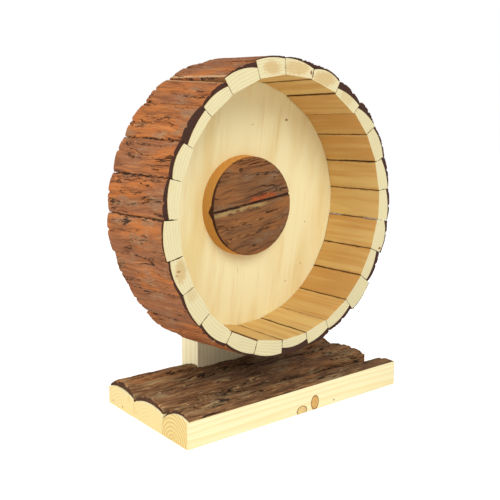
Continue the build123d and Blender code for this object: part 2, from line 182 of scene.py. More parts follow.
# How far the bark's grain wanders sideways, how many layers its flakes have, how high their
# middle layer lies from 0 to 1, and the relief of its fibres
BARK_SWAY = 14.0
FLAKE_LAYERS = 9.0
MIDDLE_LAYER = 0.70
FIBRE_RELIEF = 0.16
# How far the growth rings drift along a log, and how far they ripple within a few rings
RING_DRIFT = 4.8
RING_RIPPLE = 0.7


def bark_form(graph, point, plate, crack_depth, flake_depth, openness):
    """Rough bark at a point (across, along, layer): its height below its crests, and where
    its cracks, creases, flakes and open bands are."""
    width, length = plate
    sway = graph.noise(point, (26.0, 60.0, 60.0), 11.0) - 0.5
    swayed = graph.vector("ADD", point, graph.combine(sway * BARK_SWAY, 0.0, 0.0))
    bands = graph.smooth(graph.noise(swayed, (width * 0.55, length, 40.0), 5.0, 2.0),
                         openness, openness + 0.12)
    fold = abs(graph.noise(swayed, (2.2, length * 0.55, 20.0), 23.0, 4.0, 0.62) - 0.5)
    crack = graph.smooth(fold, 0.034, 0.008) * bands
    deep = abs(graph.noise(swayed, (width * 0.8, length * 1.7, 30.0), 37.0, 3.0) - 0.5)
    open_part = graph.noise(point, (width * 1.2, length * 0.6, 30.0), 29.0, 1.0)
    crease = (graph.smooth(deep, 0.024, 0.004)
              * graph.smooth(open_part, openness - 0.02, openness + 0.08))
    layers = graph.noise(swayed, (width * 0.6, length * 1.2, 30.0), 31.0, 4.0, 0.60)
    rise = layers * FLAKE_LAYERS
    step = graph.math("FLOOR", rise)
    part = rise - step
    terrace = (step + graph.smooth(part, 0.0, 0.22)) / FLAKE_LAYERS
    rim = graph.smooth(part, 0.30, 0.10) * graph.smooth(part, 0.0, 0.08)
    fibre = graph.noise(point, (0.8, 9.0, 4.0), 43.0, 3.0, 0.6)
    height = (0.0 - crack * crack_depth - crease * (crack_depth * 0.8)
              - (MIDDLE_LAYER - terrace) * flake_depth * 2.0 - (1.0 - fibre) * FIBRE_RELIEF)
    return {"height": height, "bands": bands, "crack": crack, "crease": crease, "rim": rim,
            "swayed": swayed}


def growth_rings(graph, log, width):
    """Rings about the log's middle: 0 in the pale wood of a ring, 1 at its dark edge."""
    x, y, _ = graph.split(log)
    drift = graph.noise(log, (26.0, 26.0, 160.0), 7.0) - 0.5
    ripple = graph.noise(log, (4.0, 4.0, 60.0), 9.0) - 0.5
    radius = graph.math("SQRT", x * x + y * y) + drift * RING_DRIFT + ripple * RING_RIPPLE
    turn = graph.math("FRACT", radius / width)
    return graph.smooth(turn, 0.35, 0.86) * graph.smooth(turn, 0.99, 0.90)


# Finishes


def finish(name):
    """A new material with a plain shader, and the graph that dresses it."""
    material = bpy.data.materials.new(name)
    material.use_nodes = True
    graph = Graph(material.node_tree)
    shader = material.node_tree.nodes["Principled BSDF"]
    return material, graph, shader


def dress(graph, shader, colour, roughness, height, bump):
    """Joins a finish's colour, roughness and height in millimetres to its shader."""
    links = graph.tree.links
    links.new(colour.socket, shader.inputs["Base Color"])
    links.new(roughness.socket, shader.inputs["Roughness"])
    normal = graph.add("ShaderNodeBump", {"Height": height, "Distance": MM, "Strength": bump})
    links.new(normal.socket, shader.inputs["Normal"])


def attribute(graph, name, output="Vector"):
    return graph.add("ShaderNodeAttribute", output=output, attribute_name=name)


def place(graph):
    """The point on the piece in millimetres."""
    here = graph.add("ShaderNodeTexCoord", output="Object")
    return graph.vector("MULTIPLY", here, (1 / MM, 1 / MM, 1 / MM))


def facing(graph, axis):
    """1 on faces square to an axis of the object, 0 on those along it."""
    normal = graph.add("ShaderNodeTexCoord", output="Normal")
    share = abs(graph.vector("DOT_PRODUCT", normal, axis, output="Value"))
    return graph.smooth(share, 0.55, 0.80)


def blots(graph, colour, here, spots, shade, ragged=0.5):
    """Small marks on a finish, each with its middle, half size and strength."""
    edge = (graph.noise(here, (0.9, 0.9, 0.9), 55.0, 2.0) - 0.5) * ragged
    for middle, size, strength in spots:
        offset = graph.vector("DIVIDE", graph.vector("SUBTRACT", here, middle), size)
        far = graph.vector("LENGTH", offset, output="Value") + edge
        colour = graph.tint(colour, linear(*shade), graph.smooth(far, 1.15, 0.65) * strength)
    return colour


# Marks that all the sawn wood shares, and the painted shade of the joints between staves
JOINT_SHADE = (112, 68, 34)
KNOT_GRAIN = (178, 116, 60)
KNOT_OUTLINE = (122, 70, 34)
RESIN_SPOT = (128, 74, 34)
TAN_PATCH = (204, 164, 98)


def knot_mark(graph, colour, here, speckle, knot):
    """A cut-off branch: its middle, half size and the colour of its heart."""
    middle, size, heart = knot
    offset = graph.vector("DIVIDE", graph.vector("SUBTRACT", here, middle), size)
    warped = graph.vector("LENGTH", offset, output="Value") + (speckle - 0.5) * 0.2
    inside = graph.smooth(warped, 1.06, 0.94)
    outline = graph.smooth(warped, 0.74, 0.92) * graph.smooth(warped, 1.12, 1.0)
    grain = graph.noise(here, (0.7, 4.0, 4.0), 71.0, 3.0)
    wood = graph.tint(linear(*heart), linear(*KNOT_GRAIN), graph.smooth(grain, 0.48, 0.66) * 0.6)
    wood = graph.tint(wood, linear(*KNOT_OUTLINE), outline * 0.85)
    return graph.tint(colour, wood, inside)


def wood_finish(name, early, late, streak, end_early, end_late, axis, ring, knots=(),
                spots=(), contrast=0.6, patches=(), veins=(0.9, 0.5)):
    """Sawn softwood that reads the piece's own place in its log. Early and late are the
    colours of a growth ring along the grain, and on the cut ends of the given axis. Veins
    are the strengths of its broad and its fine streaks."""
    material, graph, shader = finish(name)
    log = attribute(graph, "log")
    tone = attribute(graph, "tone", "Fac")
    joint = attribute(graph, "joint", "Fac")
    here = place(graph)
    end = facing(graph, axis)
    rings = growth_rings(graph, log, ring)
    fibre = graph.noise(log, (0.45, 0.45, 16.0), 3.0, 3.0, 0.6)
    band = graph.noise(log, (5.0, 5.0, 120.0), 13.0, 3.0, 0.55)
    cloud = graph.noise(log, (14.0, 14.0, 45.0), 19.0, 2.0)
    vein = graph.noise(log, (0.8, 0.8, 60.0), 33.0, 2.0, 0.5)
    speckle = graph.noise(log, (0.7, 0.7, 2.0), 29.0, 2.0, 0.7)

    face = graph.tint(linear(*early), linear(*late), rings * contrast)
    broad = graph.smooth(band + tone * 0.34, 0.52, 0.86) * veins[0]
    face = graph.tint(face, linear(*streak), broad)
    face = graph.tint(face, linear(*late), graph.smooth(fibre, 0.5, 0.8) * 0.35)
    face = graph.tint(face, linear(*streak), graph.smooth(vein, 0.60, 0.72) * veins[1])

    cut = graph.tint(linear(*end_early), linear(*end_late), rings * contrast)
    cut = graph.tint(cut, linear(*end_late), graph.smooth(speckle, 0.55, 0.8) * 0.5)
    cut = graph.tint(cut, linear(*end_late), graph.smooth(cloud, 0.58, 0.8) * 0.4)

    colour = graph.tint(face, cut, end)
    shade = graph.mix(0.94, 1.05, cloud) - tone * 0.10 + 0.03
    colour = graph.tint(colour, graph.combine(shade, shade, shade), 1.0, "MULTIPLY")
    # Painted shade in the joints between staves, on the faces along the grain
    colour = graph.tint(colour, linear(*JOINT_SHADE), joint * (1.0 - end) * 0.9)
    for knot in knots:
        colour = knot_mark(graph, colour, here, speckle, knot)
    colour = blots(graph, colour, here, patches, TAN_PATCH, 1.3)
    colour = blots(graph, colour, here, spots, RESIN_SPOT)
    height = (fibre * 0.10 + rings * 0.06) * (1.0 - end * 0.5) + speckle * 0.05
    dress(graph, shader, colour, graph.mix(0.62, 0.78, fibre), height, 0.7)
    shader.inputs["Specular IOR Level"].default_value = 0.25
    return material


def old_split(graph, colour, point, streak, split, crack_colour):
    """The long split across the hub cap's bark, pale below it, with a red stretch above it
    and a curl of bark further up."""
    across, along, _ = graph.split(point)
    ragged = graph.noise(point, (3.0, 6.0, 3.0), 131.0, 4.0, 0.65)
    off = across - split["rise"] + (ragged - 0.5) * 2.4
    below = graph.smooth(off, -5.4, -3.2) * graph.smooth(off, -0.6, -1.5)
    below = below * graph.smooth(along, split["pale_end"] + 14.0, split["pale_end"])
    below = below * graph.smooth(ragged + (streak - 0.5) * 0.6, 0.36, 0.52)
    colour = graph.tint(colour, linear(*split["pale"]), below * 0.8)
    above = graph.smooth(off, 6.0, 2.6) * graph.smooth(off, 0.4, 1.6)
    above = above * graph.smooth(abs(along - split["red_middle"]), 17.0, 7.0)
    above = above * graph.smooth(ragged, 0.34, 0.58)
    colour = graph.tint(colour, linear(*split["red"]), above * 0.85)
    line = graph.smooth(abs(off + 0.3), 1.1, 0.35) * graph.smooth(ragged, 0.30, 0.44)
    curl_rise = split["curl_rise"] + (along - CAP_GRAIN_START) * 0.10
    curl = graph.smooth(abs(off - curl_rise), 1.2, 0.3)
    curl = curl * graph.smooth(abs(along - split["curl_middle"]), 24.0, 14.0) * 0.65
    return graph.tint(colour, crack_colour, graph.largest(line * 0.92, curl))


def bark_finish(name, tones, cut, axis, form, spots=(), split=None, painted_light_slope=None,
                lines=(0.55, 0.35)):
    """Rough bark. Tones are its main colours, cut is the colour of its sawn ends and lines
    are the strengths of its dark and light fibres. The slope is painted light and shade: where
    along X the bark begins and ends to darken, and how light it is there, lighter towards
    the lit left end and darker under the drum."""
    material, graph, shader = finish(name)
    muted, warm, deep, bright, grey, flaked, cracked = (
        linear(*tones[key])
        for key in ("muted", "warm", "deep", "bright", "grey", "flake", "crack"))
    here = place(graph)
    point = attribute(graph, "grain")
    tone = attribute(graph, "tone", "Fac")
    joint = attribute(graph, "joint", "Fac")
    pale = attribute(graph, "pale", "Fac")
    bark = bark_form(graph, point, *form)
    patch = graph.noise(bark["swayed"], (16.0, 60.0, 30.0), 61.0, 3.0, 0.55)
    streak = graph.noise(bark["swayed"], (0.9, 16.0, 8.0), 71.0, 4.0, 0.66)
    band = graph.noise(bark["swayed"], (2.8, 46.0, 8.0), 67.0, 3.0, 0.60)
    weather = graph.noise(point, (8.0, 26.0, 20.0), 91.0, 3.0, 0.6)
    chip = graph.noise(point, (0.9, 4.5, 4.0), 81.0, 3.0, 0.65)

    colour = graph.tint(muted, warm, graph.smooth(patch + tone * 0.20, 0.44, 0.60))
    colour = graph.tint(colour, deep, graph.smooth(band, 0.50, 0.32) * 0.75)
    colour = graph.tint(colour, bright, graph.smooth(band, 0.55, 0.72) * 0.5)
    colour = graph.tint(colour, deep, graph.smooth(streak, 0.49, 0.36) * lines[0])
    colour = graph.tint(colour, bright, graph.smooth(streak, 0.56, 0.70) * lines[1])
    colour = graph.tint(colour, grey, graph.smooth(weather, 0.54, 0.68) * 0.7)

    flake = bark["rim"] * graph.smooth(weather, 0.46, 0.62) * 0.35
    near_cracks = graph.largest(bark["bands"], joint)
    flake = graph.largest(flake, graph.smooth(chip, 0.62, 0.69) * near_cracks)
    colour = graph.tint(colour, flaked, graph.largest(flake * 0.7, pale))

    # The bark's own dark cracks, creases and torn joints with painted shade in them; on the base
    # bark the joint value is painted shade low on its sides
    dark = graph.largest(bark["crack"], bark["crease"] * 0.9)
    broken = graph.smooth(graph.noise(point, (2.2, 5.0, 6.0), 101.0, 3.0, 0.65), 0.42, 0.60)
    dark = graph.largest(dark, joint * broken)
    colour = graph.tint(colour, cracked, graph.smooth(dark, 0.25, 0.85) * 0.9)
    if painted_light_slope:
        # Painted light and shade: the bark lighter towards its lit left end, darker under the drum
        shade = graph.smooth(graph.split(here)[0], *painted_light_slope)
        colour = graph.tint(colour, graph.combine(shade, shade, shade), 1.0, "MULTIPLY")
    if split:
        colour = old_split(graph, colour, point, streak, split, cracked)
    colour = blots(graph, colour, here, spots, tones["crack"])

    layer = graph.noise(point, (0.8, 0.8, 0.5), 97.0, 3.0, 0.7)
    end_colour = graph.tint(linear(*cut), cracked, graph.smooth(layer, 0.45, 0.65) * 0.7)
    colour = graph.tint(colour, end_colour, facing(graph, axis))
    height = bark["height"] * 0.45 + streak * 0.30 + chip * 0.22
    dress(graph, shader, colour, graph.mix(0.80, 0.95, chip), height, 0.7)
    shader.inputs["Specular IOR Level"].default_value = 0.2
    return material


VENEER_TILT = radians(7)


def plywood_finish():
    """Sanded veneer with soft upright streaks and a few specks."""
    material, graph, shader = finish("sanded_veneer")
    here = place(graph)
    x, y, z = graph.split(here)
    turned = graph.combine(x * cos(VENEER_TILT) - z * sin(VENEER_TILT), y * 4.0,
                           x * sin(VENEER_TILT) + z * cos(VENEER_TILT))
    broad = graph.noise(turned, (22.0, 30.0, 130.0), 2.0, 3.0, 0.55)
    streak = graph.noise(turned, (3.0, 30.0, 70.0), 5.0, 4.0, 0.6)
    fibre = graph.noise(turned, (0.5, 8.0, 12.0), 9.0, 3.0, 0.6)
    colour = graph.tint(linear(250, 240, 190), linear(238, 216, 150),
                        graph.smooth(broad, 0.42, 0.66) * 0.8)
    colour = graph.tint(colour, linear(228, 198, 128), graph.smooth(streak, 0.54, 0.74) * 0.5)
    colour = graph.tint(colour, linear(252, 245, 208), graph.smooth(fibre, 0.55, 0.8) * 0.4)
    colour = blots(graph, colour, here, VENEER_SPECKS, (150, 98, 48))
    pores = graph.add("ShaderNodeTexVoronoi",
                      {"Vector": graph.scaled(turned, (11.0, 60.0, 24.0), 4.0), "Scale": 1.0})
    speck = graph.smooth(pores, 0.035, 0.015) * 0.45
    colour = graph.tint(colour, linear(186, 140, 80), speck)
    height = fibre * 0.05 + streak * 0.05 - speck * 0.2
    dress(graph, shader, colour, graph.mix(0.5, 0.66, fibre), height, 0.6)
    shader.inputs["Specular IOR Level"].default_value = 0.3
    return material


def metal_finish(name, bright, dull, roughness):
    """Metal with fine turning marks and a little wear."""
    material, graph, shader = finish(name)
    here = place(graph)
    wear = graph.noise(here, (1.6, 1.6, 1.6), 3.0, 4.0, 0.65)
    lines = graph.noise(here, (3.0, 0.08, 3.0), 6.0, 2.0)
    colour = graph.tint(linear(*bright), linear(*dull), graph.smooth(wear, 0.42, 0.70))
    rough = graph.mix(roughness, roughness + 0.18, wear)
    dress(graph, shader, colour, rough, lines * 0.02 + wear * 0.01, 0.5)
    shader.inputs["Metallic"].default_value = 1.0
    return material


def nylon_finish():
    """Pale moulded nylon."""
    material, graph, shader = finish("moulded_nylon")
    here = place(graph)
    cloud = graph.noise(here, (1.2, 1.2, 1.2), 2.0, 3.0, 0.6)
    grain = graph.noise(here, (0.12, 0.12, 0.12), 5.0, 2.0)
    colour = graph.tint(linear(232, 232, 222), linear(214, 213, 200), cloud)
    dress(graph, shader, colour, graph.mix(0.42, 0.58, cloud), grain * 0.02, 0.5)
    return material


# Bark of the drum, the base and the hub cap: the size of its plates across and along the
# grain, the depth of its cracks and flakes, and how much of it stays whole
STAVE_BARK_FORM = ((8.0, 34.0), 0.7, 0.32, 0.52)
SLAB_BARK_FORM = ((9.0, 62.0), 1.5, 0.75, 0.47)
CAP_BARK_FORM = ((8.0, 34.0), 0.45, 0.25, 0.53)

# Single marks seen on the real pieces: the middle, half size and strength of each, and for a
# knot the colour of its heart
VENEER_SPECKS = (
    ((42.8, 18.5, 210.0), (1.5, 3.0, 1.0), 0.9), ((8.7, 18.5, 206.0), (0.8, 3.0, 0.6), 0.5),
    ((64.4, 18.5, 127.8), (0.8, 3.0, 0.7), 0.5), ((60.4, 18.5, 93.5), (0.9, 3.0, 0.7), 0.5),
    ((43.7, 18.5, 80.4), (0.8, 3.0, 0.7), 0.5), ((-5.3, 18.5, 95.2), (0.35, 3.0, 3.0), 0.4))
SLAB_KNOTS = (
    ((11.7, -52.5, 5.5), (3.9, 6.0, 5.6), (226, 180, 106)),
    ((-1.1, -52.5, 2.3), (5.0, 6.0, 3.6), (242, 212, 144)))
SLAB_SPOTS = (
    ((31.3, -52.5, 2.9), (0.8, 3.0, 0.7), 0.8), ((-100.0, 46.1, 3.5), (3.0, 0.8, 0.7), 0.8),
    ((-100.0, 32.2, 2.7), (3.0, 0.8, 0.7), 0.8))
STAVE_SPOTS = (
    ((17.9, -35.5, 241.7), (1.0, 3.0, 1.5), 0.95), ((96.5, -35.5, 109.4), (1.4, 3.0, 1.1), 0.95),
    ((-94.0, -35.5, 112.6), (1.6, 3.0, 0.8), 0.6), ((-95.5, -35.5, 110.0), (1.0, 3.0, 0.6), 0.5))
STAVE_PATCHES = (
    ((-18.0, -35.5, 243.0), (8.0, 3.0, 5.0), 0.6), ((4.0, -35.5, 244.0), (12.0, 3.0, 5.0), 0.55),
    ((31.0, -35.5, 238.0), (12.0, 3.0, 5.5), 0.6), ((54.0, -35.5, 226.0), (7.0, 3.0, 6.0), 0.35),
    ((-92.5, -35.5, 112.5), (4.5, 3.0, 8.5), 0.6), ((-84.0, -35.5, 96.0), (4.0, 3.0, 5.0), 0.3))
CAP_SPOTS = (
    ((-21.4, 6.2, 121.8), (1.0, 4.0, 0.9), 0.8), ((20.4, 6.2, 166.5), (0.9, 4.0, 0.8), 0.8),
    ((28.7, 6.2, 135.1), (0.8, 4.0, 0.8), 0.7), ((25.4, 6.2, 127.5), (0.9, 4.0, 0.8), 0.7),
    ((1.1, 6.2, 115.3), (2.2, 4.0, 0.9), 0.8), ((-11.6, 6.2, 172.7), (2.2, 4.0, 1.8), 0.7))
# Where the cap's pattern starts along its grain, and the split across its bark: its height,
# and how far along the grain its colours reach
CAP_GRAIN_START = 400.0
CAP_SPLIT = {
    "rise": 3.0, "pale": (176, 150, 100), "pale_end": CAP_GRAIN_START + 4.0,
    "red": (188, 88, 44), "red_middle": CAP_GRAIN_START + 10.0,
    "curl_rise": 5.4, "curl_middle": CAP_GRAIN_START + 12.0}

stave_wood = wood_finish("split_stave_wood", (230, 197, 126), (214, 176, 108), (210, 152, 78),
                         (234, 222, 176), (216, 196, 142), (0, 1, 0), 2.1,
                         spots=STAVE_SPOTS, contrast=0.45, patches=STAVE_PATCHES,
                         veins=(0.75, 0.3))
slab_wood = wood_finish("slab_wood", (255, 243, 196), (246, 224, 160), (250, 228, 170),
                        (232, 208, 142), (196, 150, 76), (1, 0, 0), 2.6, SLAB_KNOTS,
                        SLAB_SPOTS)
plain_slab_wood = wood_finish("plain_slab_wood", (255, 243, 196), (246, 224, 160),
                              (250, 228, 170), (236, 214, 154), (214, 180, 112), (1, 0, 0),
                              2.6, (), SLAB_SPOTS, 0.3)
post_wood = wood_finish("post_wood", (255, 244, 204), (244, 220, 160), (246, 226, 170),
                        (250, 234, 182), (222, 192, 130), (0, 0, 1), 2.8)
cap_wood = wood_finish("hub_cap_wood", (222, 162, 80), (200, 136, 58), (206, 140, 60),
                       (214, 160, 84), (176, 120, 56), (cos(GRAIN_TILT), 0, sin(GRAIN_TILT)),
                       2.0, contrast=0.35)

stave_bark = bark_finish(
    "drum_bark",
    {"muted": (150, 96, 62), "warm": (182, 109, 56), "deep": (116, 70, 42),
     "bright": (204, 134, 76), "grey": (144, 110, 82), "flake": (218, 178, 130),
     "crack": (44, 28, 20)},
    (74, 48, 38), (0, 1, 0), STAVE_BARK_FORM)
slab_bark = bark_finish(
    "base_bark",
    {"muted": (118, 84, 54), "warm": (144, 98, 58), "deep": (72, 46, 30),
     "bright": (196, 158, 108), "grey": (140, 120, 86), "flake": (216, 186, 138),
     "crack": (26, 18, 12)},
    # painted light at the base bark's left end and painted shade under the drum
    (90, 58, 38), (1, 0, 0), SLAB_BARK_FORM, painted_light_slope=(-98.0, -15.0, 1.45, 0.92),
    lines=(0.8, 0.8))
cap_bark = bark_finish(
    "hub_cap_bark",
    {"muted": (128, 88, 56), "warm": (150, 98, 56), "deep": (92, 60, 42),
     "bright": (170, 122, 74), "grey": (132, 104, 80), "flake": (190, 150, 102),
     "crack": (42, 26, 18)},
    (80, 52, 38), (cos(GRAIN_TILT), 0, sin(GRAIN_TILT)), CAP_BARK_FORM,
    CAP_SPOTS, CAP_SPLIT)
veneer = plywood_finish()
zinc = metal_finish("zinc_plate", (196, 198, 202), (150, 152, 156), 0.30)
bearing_steel = metal_finish("ground_steel", (214, 216, 220), (176, 178, 184), 0.14)
nylon = nylon_finish()


# Shapes grown by Geometry Nodes

# Rays that feel out a CAD node start outside the drum, above the slabs and in front of the
# cap, reach this far in metres, and stay a little inside the node's own edges
RAY_INSET = 0.06
RAY_REACH = 0.2
OUTSIDE_DRUM = 135.0
ABOVE_SLABS = 90.0
BEFORE_CAP = -60.0
# Rough measures that turn the inset into a share of a slab and place the cap's front edge
SLAB_WIDTH = 34.0
SLAB_HALF_LENGTH = 90.0
CAP_THICKNESS = 13.0
# Bark never gets thinner than this, on a stave or slab and on the cap
THIN_BARK = 0.35
THIN_CAP_BARK = 0.3
# Steps between the patterns of one stave and the next
WOOD_SEED, BARK_SEED, LOG_SEED = 31.0, 57.0, 311.0


def shape_tree(name, sizes, shapes):
    """An empty geometry tree with a named input for each size and each CAD shape it follows."""
    tree = bpy.data.node_groups.new(name, "GeometryNodeTree")
    tree.interface.new_socket(name="Geometry", in_out="OUTPUT",
                              socket_type="NodeSocketGeometry")
    for size in sizes:
        tree.interface.new_socket(name=size, in_out="INPUT", socket_type="NodeSocketFloat")
    for shape in shapes:
        tree.interface.new_socket(name=shape, in_out="INPUT", socket_type="NodeSocketObject")
    graph = Graph(tree)
    source = tree.nodes.new("NodeGroupInput")
    return graph, {name: Wire(graph, source.outputs[name]) for name in (*sizes, *shapes)}


def block(graph, across, along, outward):
    """A block of many faces, and where each of its points lies in it from 0 to 1."""
    mesh = graph.add("GeometryNodeMeshCube",
                     {"Size": (1, 1, 1), "Vertices X": across + 1, "Vertices Y": along + 1,
                      "Vertices Z": outward + 1})
    x, y, z = graph.split(graph.add("GeometryNodeInputPosition"))
    return mesh, (x + 0.5, y + 0.5, z + 0.5)


def keep(graph, mesh, name, kind, value):
    """Stores a value on the points under a name."""
    node = graph.tree.nodes.new("GeometryNodeStoreNamedAttribute")
    node.data_type = kind
    node.inputs["Name"].default_value = name
    graph.tree.links.new(mesh.socket, node.inputs["Geometry"])
    graph.tree.links.new(value.socket, node.inputs["Value"])
    return Wire(graph, node.outputs["Geometry"])


def shaped(graph, mesh, position, kept, material):
    """Keeps values on the block's points, moves them to their places and ends the tree."""
    for name, value in kept.items():
        kind = "FLOAT_VECTOR" if value.socket.type == "VECTOR" else "FLOAT"
        mesh = keep(graph, mesh, name, kind, value)
    metres = graph.vector("MULTIPLY", position, (MM, MM, MM))
    mesh = graph.add("GeometryNodeSetPosition", {"Geometry": mesh, "Position": metres})
    mesh = graph.add("GeometryNodeRealizeInstances", {"Geometry": mesh})
    mesh = graph.add("GeometryNodeSetMaterial", {"Geometry": mesh, "Material": material})
    end = graph.tree.nodes.new("NodeGroupOutput")
    graph.tree.links.new(mesh.socket, end.inputs["Geometry"])
    return graph.tree


def about_axle(graph, angle, radius, depth):
    """The place of a point at an angle clockwise from the top and a radius from the axle."""
    return graph.combine(graph.math("SINE", angle) * radius, depth,
                         graph.math("COSINE", angle) * radius + AXLE_HEIGHT)


def met_by_ray(graph, target, start, direction):
    """Where a ray first meets a CAD node, in millimetres."""
    shape = graph.add("GeometryNodeObjectInfo", {"Object": target}, output="Geometry")
    met = graph.add("GeometryNodeRaycast", {
        "Target Geometry": shape, "Source Position": graph.vector("MULTIPLY", start, (MM, MM, MM)),
        "Ray Direction": direction, "Ray Length": RAY_REACH}, output="Hit Position")
    return graph.split(graph.vector("MULTIPLY", met, (1 / MM, 1 / MM, 1 / MM)))


def outer_radius(graph, target, angle, depth):
    """A CAD node's radius about the axle, seen from outside the drum."""
    inward = graph.combine(0.0 - graph.math("SINE", angle), 0.0, 0.0 - graph.math("COSINE", angle))
    start = about_axle(graph, angle, OUTSIDE_DRUM, depth)
    x, _, z = met_by_ray(graph, target, start, inward)
    z = z - AXLE_HEIGHT
    return graph.math("SQRT", x * x + z * z)


def just_inside(graph, size, u, v):
    """The angle and depth at shares of a stave's width and length, a little inside its edges."""
    inset = RAY_INSET / DRUM_RADIUS
    return (graph.mix(size["First"] + inset, size["Last"] - inset, u),
            size["Front"] + RAY_INSET + (size["Depth"] - 2 * RAY_INSET) * v)


def stave_wood_tree():
    """A split stave: flat inside and let over the disc's edge, with the log's curve outside."""
    graph, size = shape_tree("split_stave", [
        "First", "Last", "Front", "Depth", "Flat", "Seat Start", "Seat End", "Seat Radius",
        "Log Radius", "Gap First", "Gap Last", "Tone", "Seed"], ["Wood"])
    mesh, (u, v, w) = block(graph, 36, 63, 12)
    middle = (size["First"] + size["Last"]) * 0.5
    depth = size["Front"] + size["Depth"] * v
    seed = size["Seed"] * WOOD_SEED
    joint = graph.combine(depth, w * 10.0, seed)
    torn_first = graph.smooth(graph.noise(joint, (9.0, 6.0, 1.0), 1.0, 3.0, 0.6), 0.42, 0.72)
    torn_last = graph.smooth(graph.noise(joint, (9.0, 6.0, 1.0), 51.0, 3.0, 0.6), 0.42, 0.72)
    first = size["First"] + (size["Gap First"] * torn_first) / WOOD_RADIUS
    last = size["Last"] - (size["Gap Last"] * torn_last) / WOOD_RADIUS
    angle = graph.mix(first, last, u)
    inner = size["Flat"] / graph.math("COSINE", angle - middle)
    seated = (graph.math("GREATER_THAN", depth, size["Seat Start"] - 0.5)
              * graph.math("LESS_THAN", depth, size["Seat End"] + 0.5))
    inner = graph.mix(inner, graph.largest(inner, size["Seat Radius"]), seated)
    own_angle, own_depth = just_inside(graph, size, u, v)
    outer = outer_radius(graph, size["Wood"], own_angle, own_depth)
    radius = graph.mix(inner, outer, w)
    end_cut = graph.noise(graph.combine(radius, angle * WOOD_RADIUS, seed), (7.0, 9.0, 1.0),
                          71.0) * 0.35
    at_front = graph.smooth(v, 0.02, 0.0)
    at_back = graph.smooth(v, 0.98, 1.0)
    depth = depth + at_front * end_cut - at_back * end_cut
    position = about_axle(graph, angle, radius, depth)
    pith = LOG_SURFACE_RADIUS - size["Log Radius"]
    log = graph.combine(graph.math("SINE", angle - middle) * radius,
                        graph.math("COSINE", angle - middle) * radius - pith,
                        depth + size["Seed"] * LOG_SEED)
    # Painted shade along the joints between staves: the joint value darkens the wood near each
    # edge
    width = (size["Last"] - size["First"]) * INNER_FACE_RADIUS
    beside = graph.math("MINIMUM", u, 1.0 - u) * width
    beside = beside + (graph.noise(joint, (5.0, 6.0, 1.0), 9.0, 3.0, 0.6) - 0.5) * 1.2
    return shaped(graph, mesh, position,
                  {"log": log, "tone": size["Tone"], "joint": graph.smooth(beside, 0.75, 0.1)},
                  stave_wood)


def stave_bark_tree():
    """A stave's bark: the solid's own outside, roughened, with torn edges at its joints."""
    graph, size = shape_tree("stave_bark", [
        "First", "Last", "Front", "Depth", "Joint First", "Joint Last", "Pale First",
        "Pale Last", "Knot Across", "Knot Along", "Fill", "Tone", "Seed"], ["Bark", "Wood"])
    mesh, (u, v, w) = block(graph, 44, 104, 3)
    width = (size["Last"] - size["First"]) * BARK_RADIUS
    across = width * u
    along = size["Front"] + size["Depth"] * v
    seed = size["Seed"] * BARK_SEED
    edge_line = graph.combine(along, 0.0, seed)
    ragged_first = graph.noise(edge_line, (7.0, 1.0, 1.0), 2.0, 4.0, 0.6)
    ragged_last = graph.noise(edge_line, (7.0, 1.0, 1.0), 47.0, 4.0, 0.6)
    torn_first = graph.smooth(ragged_first, 0.45, 0.75) * size["Joint First"]
    torn_last = graph.smooth(ragged_last, 0.45, 0.75) * size["Joint Last"]
    angle = graph.mix(size["First"] + torn_first / BARK_RADIUS,
                      size["Last"] - torn_last / BARK_RADIUS, u)
    point = graph.combine(across, along + seed, seed)
    bark = bark_form(graph, point, *STAVE_BARK_FORM)
    waver = ((graph.noise(point, (40.0, 9.0, 10.0), 3.0, 3.0) - 0.5) * 0.14
             * graph.smooth(graph.math("MINIMUM", u, 1.0 - u), 0.07, 0.25))
    # Fill raises the solid's bevelled edge towards the height of the bark beside it
    clear_of_bevel = graph.math("MINIMUM", graph.math("MAXIMUM", u, 0.09), 0.91)
    own_u = graph.mix(u, clear_of_bevel, size["Fill"]) + waver
    own_angle, own_depth = just_inside(graph, size, own_u, v)
    inner = outer_radius(graph, size["Wood"], own_angle, own_depth)
    outer = outer_radius(graph, size["Bark"], own_angle, own_depth)
    from_knot = graph.vector("LENGTH", graph.combine((across - size["Knot Across"]) / 3.0,
                                                     (along - size["Knot Along"]) / 5.0, 0.0),
                             output="Value")
    knot = graph.smooth(from_knot, 1.5, 0.9) * graph.smooth(from_knot, 0.5, 1.0)
    outer = graph.largest(inner + THIN_BARK, outer + bark["height"] - knot * 0.6)
    radius = graph.mix(inner, outer, w)
    chipped = graph.noise(graph.combine(across, radius, seed), (4.0, 3.0, 1.0), 77.0, 3.0)
    depth = along + graph.smooth(v, 0.01, 0.0) * chipped * 0.5
    position = about_axle(graph, angle, radius, depth)
    grain = graph.combine(across, along + seed, seed + (w - 1.0) * (outer - inner))
    from_first = across + (ragged_last - 0.5) * 1.6
    from_last = width - across + (ragged_first - 0.5) * 1.6
    # Darker along the edges and at the knot: the bark's own torn edges and knot ring, with painted
    # shade in the joints between staves
    joint = graph.largest(graph.smooth(from_first, 1.3, 0.4) * (0.35 + size["Joint First"]),
                          graph.smooth(from_last, 1.3, 0.4) * (0.35 + size["Joint Last"]),
                          knot * 0.8)
    beside_first = graph.smooth(from_first, 3.6, 2.2) * graph.smooth(from_first, 0.6, 1.2)
    beside_last = graph.smooth(from_last, 3.6, 2.2) * graph.smooth(from_last, 0.6, 1.2)
    pale = graph.largest(beside_first * size["Pale First"], beside_last * size["Pale Last"])
    return shaped(graph, mesh, position,
                  {"grain": grain, "tone": size["Tone"], "joint": joint, "pale": pale},
                  stave_bark)


